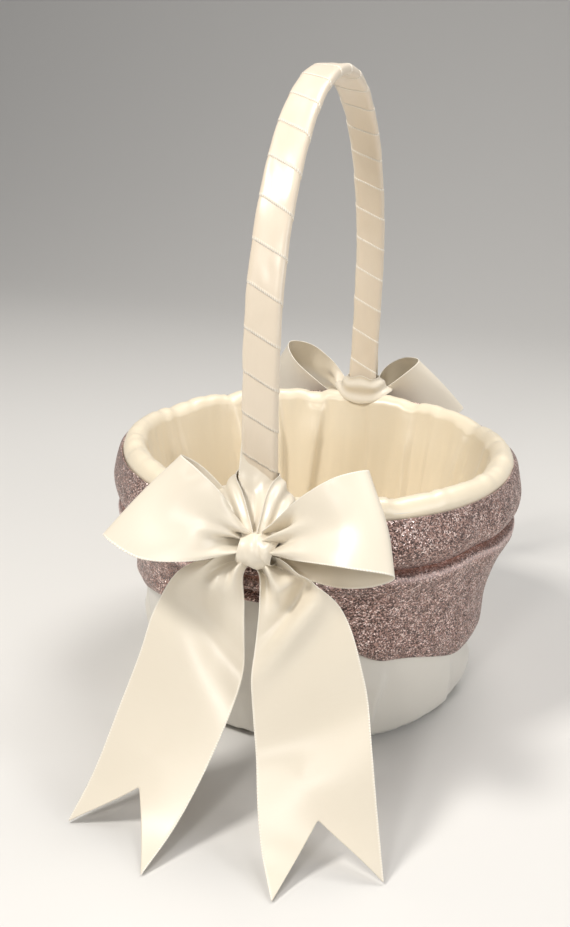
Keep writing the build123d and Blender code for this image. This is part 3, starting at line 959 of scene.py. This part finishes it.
def makeFloorPad():
    low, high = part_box("floor_pad")
    radius = high.x - floorPad["inset"]
    bm = bmesh.new()
    padMap = bm.loops.layers.uv.new("clothMap")
    bmesh.ops.create_circle(bm, cap_ends=True, segments=floorPad["segments"], radius=radius)
    floorFace = bm.faces[:]
    raised = bmesh.ops.extrude_face_region(bm, geom=floorFace)
    top = [g for g in raised["geom"] if isinstance(g, bmesh.types.BMVert)]
    bmesh.ops.translate(bm, verts=top, vec=(0, 0, high.z - low.z))
    bmesh.ops.translate(bm, verts=bm.verts, vec=(0, 0, low.z))
    rim = [e for e in bm.edges if len(e.link_faces) == 2 and e.calc_face_angle(0) > 1]
    bmesh.ops.bevel(bm, geom=rim, offset=floorPad["edge"], offset_type="OFFSET", segments=4, profile=0.5,
                    affect="EDGES", material=-1)
    caps = [f for f in bm.faces if len(f.verts) > 8]
    for step in range(floorPad["rings"]):
        bmesh.ops.inset_region(bm, faces=caps, thickness=radius / 6, use_even_offset=True)
    bmesh.ops.recalc_face_normals(bm, faces=bm.faces)
    for vert in bm.verts:
        if vert.co.z > (low.z + high.z) / 2:
            vert.co.z += floorPad["swell"] * noise.noise(vert.co * 60)
    for face in bm.faces:
        for loop in face.loops:
            loop[padMap].uv = (loop.vert.co.x, loop.vert.co.y)
    piece = linkPiece("floorPad", bm, liningSatin)
    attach(piece, "root")
    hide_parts("floor_pad")


knotBox = {"front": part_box("front_bow_knot"), "back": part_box("back_bow_knot")}


def points(*rows):
    return [Vector(row) * mm for row in rows]


# Edges of each stretch of ribbon from the knot outwards, each point as sideways, forwards and upwards in
# millimetres from the middle of the knot
frontBow = {
    "loop_left": {
        "top": points(
            (1, 1, 4), (-4.5, 3.5, 9.5), (-10.5, 7, 20), (-20, 5, 26.5), (-28.7, -3, 27.5),
            (-24, -10, 22), (-14, -10, 13), (-5, -4, 4), (-1, -1, 2),
        ),
        "bottom": points(
            (1, 3, -1), (-6.5, 6.5, -0.5), (-17, 18, -1.5), (-34, 22, -1.5), (-50, 15, 1.5),
            (-40, 6, -5), (-24, 3, -7), (-8, 0, -3), (-1, -1, -1),
        ),
        "pleats": 2.6,
        "phase": 0.7,
        "open": 0.62,
    },
    "loop_right": {
        "top": points(
            (2.5, 1, 4), (8, 3, 10), (16, 5, 21), (26.5, 3, 29), (36, -4, 30.5), (31, -12, 24),
            (18, -12, 14), (6, -5, 5), (1, -1, 2),
        ),
        "bottom": points(
            (2.5, 3, -1), (10, 7, 0), (20, 15, 3.5), (36, 21, 6.5), (50.5, 16, 3.5),
            (42, 8, -5), (28, 1, -10.5), (12, -2, -9), (1, -1, -2),
        ),
        "pleats": 2.4,
        "phase": 2.2,
        "open": 0.62,
    },
    "tail_left": {
        "top": points(
            (-3, 2, -1), (-15, 5, -5), (-27, 7, -12), (-33.5, 10, -25), (-37, 15, -41),
            (-42, 22, -60), (-46.5, 33, -80), (-51, 44.5, -94.3),
        ),
        "bottom": points(
            (1, 3, -4), (-1.5, 7, -8), (-0.5, 9, -19), (0.3, 13, -32), (0, 19, -49),
            (-4, 30, -67), (-10, 45, -84), (-16, 60.5, -94.3),
        ),
        "pleats": 1.6,
        "phase": 0.2,
        "open": 0.42,
    },
    "tail_right": {
        "top": points(
            (-1, 3, -4), (3.5, 7, -8), (4.5, 9, -19), (5, 13, -33), (7, 20, -50), (12, 31, -67),
            (19, 44, -85), (27.5, 57.5, -94.3),
        ),
        "bottom": points(
            (3, 2, -1), (15, 4, -5), (27, 5, -9.5), (36.5, 9, -20), (43.5, 15, -36),
            (49, 22, -55), (54, 29, -76), (59, 37, -94.3),
        ),
        "pleats": 1.6,
        "phase": 1.9,
        "open": 0.42,
    },
}
bow = {"columns": 44, "rows": 110, "thickness": 0.28 * mm, "floorGap": 0.3 * mm, "measureSteps": 60}


def toBasket(spot, end):
    # from a bow's own directions to the basket's; the back bow is turned half round
    low, high = knotBox[end]
    centre = (low + high) / 2
    sign = 1 if end == "front" else -1
    return centre + Vector((sign * spot.x, -sign * spot.y, spot.z))


def ribbonPlace(stretch, end, isTail, extra=None):
    top, bottom = stretch["top"], stretch["bottom"]

    def place(u, v):
        a, b = alongPoints(bottom, v), alongPoints(top, v)
        ahead = alongPoints(bottom, v + 0.01) + alongPoints(top, v + 0.01)
        behind = alongPoints(bottom, v - 0.01) + alongPoints(top, v - 0.01)
        across = b - a
        normal = (ahead - behind).cross(across).normalized()
        gathered = min(across.length / ribbonWidth, 1.0)
        distance = v if isTail else 2 * min(v, 1 - v)
        fade = 1 - smoothStep(0.0, stretch["open"], distance)
        size = ribbonWidth / (4 * stretch["pleats"]) * math.sqrt(max(1 - gathered ** 2, 0.0))
        size *= fade * (0.3 + 0.7 * smoothStep(0.02, 0.16, distance))
        wave = math.sin(2 * math.pi * stretch["pleats"] * u + stretch["phase"])
        wave += 0.35 * math.sin(2 * math.pi * stretch["pleats"] * 1.7 * u + 1.3 * stretch["phase"])
        spot = a.lerp(b, u) + normal * size * wave
        if extra:
            spot += normal * extra(u, v)
        spot = toBasket(spot, end)
        spot.z = max(spot.z, bow["floorGap"])
        return spot

    return place


def leftTailSwell(u, v):
    # broad dome under the knot, then a hollow that crosses the ribbon
    dome = 7.5 * mm * math.exp(-(((u - 0.42) / 0.22) ** 2) - (((v - 0.22) / 0.10) ** 2))
    hollow = -4.6 * mm * math.exp(-(((v - 0.42 - 0.16 * (0.5 - u)) / 0.09) ** 2))
    return dome + hollow * (0.35 + 0.65 * smoothStep(0.9, 0.3, u))


def rightTailSwell(u, v):
    # a buckle: ridge, hollow and ridge that cross the ribbon from its right edge down to its left
    line = v - 0.27 - 0.23 * u
    ridge = 5.2 * mm * math.exp(-((line / 0.06) ** 2)) * (1 - 0.5 * smoothStep(0.5, 1.0, u))
    second = 4.2 * mm * math.exp(-(((v - 0.17 - 0.10 * u) / 0.045) ** 2)) * smoothStep(0.85, 0.35, u)
    hollow = -4.0 * mm * math.exp(-(((line + 0.085) / 0.05) ** 2)) * smoothStep(1.0, 0.5, u)
    low = -2.6 * mm * math.exp(-(((v - 0.62 - 0.08 * u) / 0.08) ** 2))
    return ridge + second + hollow + low


def blob(u, v, middle, spread, height):
    # a rounded swelling on the ribbon, or a hollow where height is negative, in millimetres
    across = (u - middle[0]) / spread[0]
    along = (v - middle[1]) / spread[1]
    return height * mm * math.exp(-(across ** 2) - (along ** 2))


def leftLoopSwell(u, v):
    # a puff beside the knot over a deep valley, and a panel that sinks between its edges
    puff = blob(u, v, (0.66, 0.15), (0.17, 0.055), 3.4) + blob(u, v, (0.12, 0.13), (0.14, 0.06), 2.0)
    valley = blob(u, v, (0.40, 0.13), (0.12, 0.075), -2.8)
    panel = blob(u, v, (0.52, 0.33), (0.34, 0.10), -2.2)
    return puff + valley + panel + blob(u, v, (0.5, 0.5), (0.5, 0.07), 1.2)


def rightLoopSwell(u, v):
    # the same on the other side, where the ribbon's face points the other way, so the signs change
    puff = blob(u, v, (0.50, 0.15), (0.15, 0.045), -2.6) + blob(u, v, (0.14, 0.15), (0.12, 0.08), -1.6)
    valley = blob(u, v, (0.80, 0.13), (0.11, 0.08), 2.4)
    panel = blob(u, v, (0.48, 0.33), (0.34, 0.11), 2.8)
    return puff + valley + panel + blob(u, v, (0.45, 0.5), (0.42, 0.07), -2.4)


def makeRibbonStretch(end, part, swell=None):
    stretch = frontBow[part]
    isTail = part.startswith("tail")
    name = f"{end}{part.title().replace('_', '')}"
    place = ribbonPlace(stretch, end, isTail, swell)
    middle = []
    for i in range(bow["measureSteps"] + 1):
        share = i / bow["measureSteps"]
        middle.append(alongPoints(stretch["top"], share).lerp(alongPoints(stretch["bottom"], share), 0.5))
    length = measured(middle)[-1]
    notch = ribbonWidth / 2 / length if isTail else 0.0
    bm = clothGrid(bow["columns"], bow["rows"], place, (ribbonWidth, length), notch=notch)
    piece = finishCloth(name, bm, bowSatin, bow["thickness"], smooth=1)
    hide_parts(f"{end}_bow_{part}")
    return piece


tie = {
    "length": 88 * mm,
    "foldedWidth": 12 * mm,
    "outer": points(
        (-3.5, 3, 1), (-9, 0, 8), (-15.5, -5, 12.5), (-18.5, -11, 13.2), (-16.8, -17, 12.4),
        (-12.5, -20.8, 9.5), (-5, -21.8, 8), (2.5, -20.8, 9.5), (6.8, -17, 12.4),
        (9.5, -11, 13.2), (9.5, -5, 12.5), (8, 0, 8), (5, 3, 1),
    ),
    "inner": points(
        (0.5, 5, 5), (-2, 2.5, 10.5), (-7, -4, 17), (-11.5, -10, 20), (-12.6, -16.5, 20.5),
        (-10.2, -20.4, 20), (-5, -21.0, 21.5), (0.2, -20.4, 20), (2.6, -16.5, 20.5),
        (2.2, -10, 20), (1.8, -4, 17), (2, 2.5, 10.5), (1.5, 5, 5),
    ),
    # the end of the handle's winding, which comes forward over the rim and under the knot
    "tongueLeft": points(
        (-11.5, -15.4, 32), (-11.6, -14.0, 25), (-10.8, -11, 16.5), (-6.5, -3, 11), (-3, 2, 5),
        (-2, 3, 0),
    ),
    "tongueRight": points(
        (1.5, -17.4, 24), (1.6, -15.6, 18), (2.4, -10, 14), (3, -3, 10), (2.5, 2, 5), (2, 3, 0),
    ),
}


def makeTongue(end):
    def place(u, v):
        a, b = alongPoints(tie["tongueLeft"], v), alongPoints(tie["tongueRight"], v)
        fold = 0.8 * mm * math.sin(2 * math.pi * 1.5 * u + 0.4) * smoothStep(0.15, 0.6, v)
        return toBasket(a.lerp(b, u) + Vector((0, fold, 0.6 * fold)), end)

    bm = clothGrid(24, 40, place, (14 * mm, 34 * mm))
    piece = finishCloth(f"{end}Tongue", bm, bowSatin, bow["thickness"], smooth=1)
    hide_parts(f"{end}_bow_tie")
    return piece


def makeTie(end):
    def place(u, v):
        a, b = alongPoints(tie["outer"], v), alongPoints(tie["inner"], v)
        ahead = alongPoints(tie["outer"], v + 0.01) - alongPoints(tie["outer"], v - 0.01)
        normal = ahead.cross(b - a).normalized()
        wave = math.sin(2 * math.pi * 1.8 * u + 0.8) + 0.3 * math.sin(9 * v + 5 * u)
        return toBasket(a.lerp(b, u) + normal * 0.45 * mm * wave, end)

    bm = clothGrid(26, 120, place, (ribbonWidth, tie["length"]))
    piece = finishCloth(f"{end}Tie", bm, bowSatin, bow["thickness"], smooth=1)
    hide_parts(f"{end}_bow_tie")
    return piece


knot = {
    "width": 13.6 * mm,
    "reach": 7.0 * mm,
    "height": 6.0 * mm,
    "forward": 3.6 * mm,
    "aside": 2.2 * mm,
    "creases": 2.2,
    "crease": 0.32 * mm,
    "deepCrease": 0.6 * mm,
    "wrap": 330,
    "thickness": 0.4 * mm,
    "length": 34 * mm,
}


def makeKnot(end):
    # a tight turn of ribbon over the middle of the bow, its folds running a little askew
    def place(u, v):
        turn = math.radians(knot["wrap"] * (v - 0.5))
        side = 2 * u - 1
        swell = 1 - 0.24 * abs(side) ** 3
        askew = 0.9 * math.sin(turn)
        slanted = u + 0.12 * math.sin(turn + 0.5)
        crease = knot["crease"] * math.sin(2 * math.pi * knot["creases"] * slanted + 0.6)
        deep = -knot["deepCrease"] * math.exp(-(((side - 0.45 + 0.6 * math.sin(turn)) / 0.12) ** 2))
        reach = knot["reach"] * swell + crease + deep
        height = knot["height"] * swell + crease + deep
        x = side * knot["width"] / 2 * (1 - 0.12 * math.cos(turn)) + askew * mm + knot["aside"]
        return toBasket(Vector((x, reach * math.cos(turn) + knot["forward"], height * math.sin(turn))), end)

    bm = clothGrid(40, 80, place, (ribbonWidth, knot["length"]))
    piece = finishCloth(f"{end}Knot", bm, bowSatin, knot["thickness"], smooth=1)
    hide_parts(f"{end}_bow_knot")
    return piece


def makeBow(end):
    makeRibbonStretch(end, "loop_left", leftLoopSwell)
    makeRibbonStretch(end, "loop_right", rightLoopSwell)
    makeRibbonStretch(end, "tail_left", leftTailSwell)
    makeRibbonStretch(end, "tail_right", rightTailSwell)
    makeTie(end)
    makeTongue(end)
    makeKnot(end)
    print(end, "bow made")


setCamera()
makeStudio()
finishHiddenParts()
makeHandleRibbon()
makeLining()
makeCover()
makeSash()
makeFloorPad()
makeBow("front")
makeBow("back")
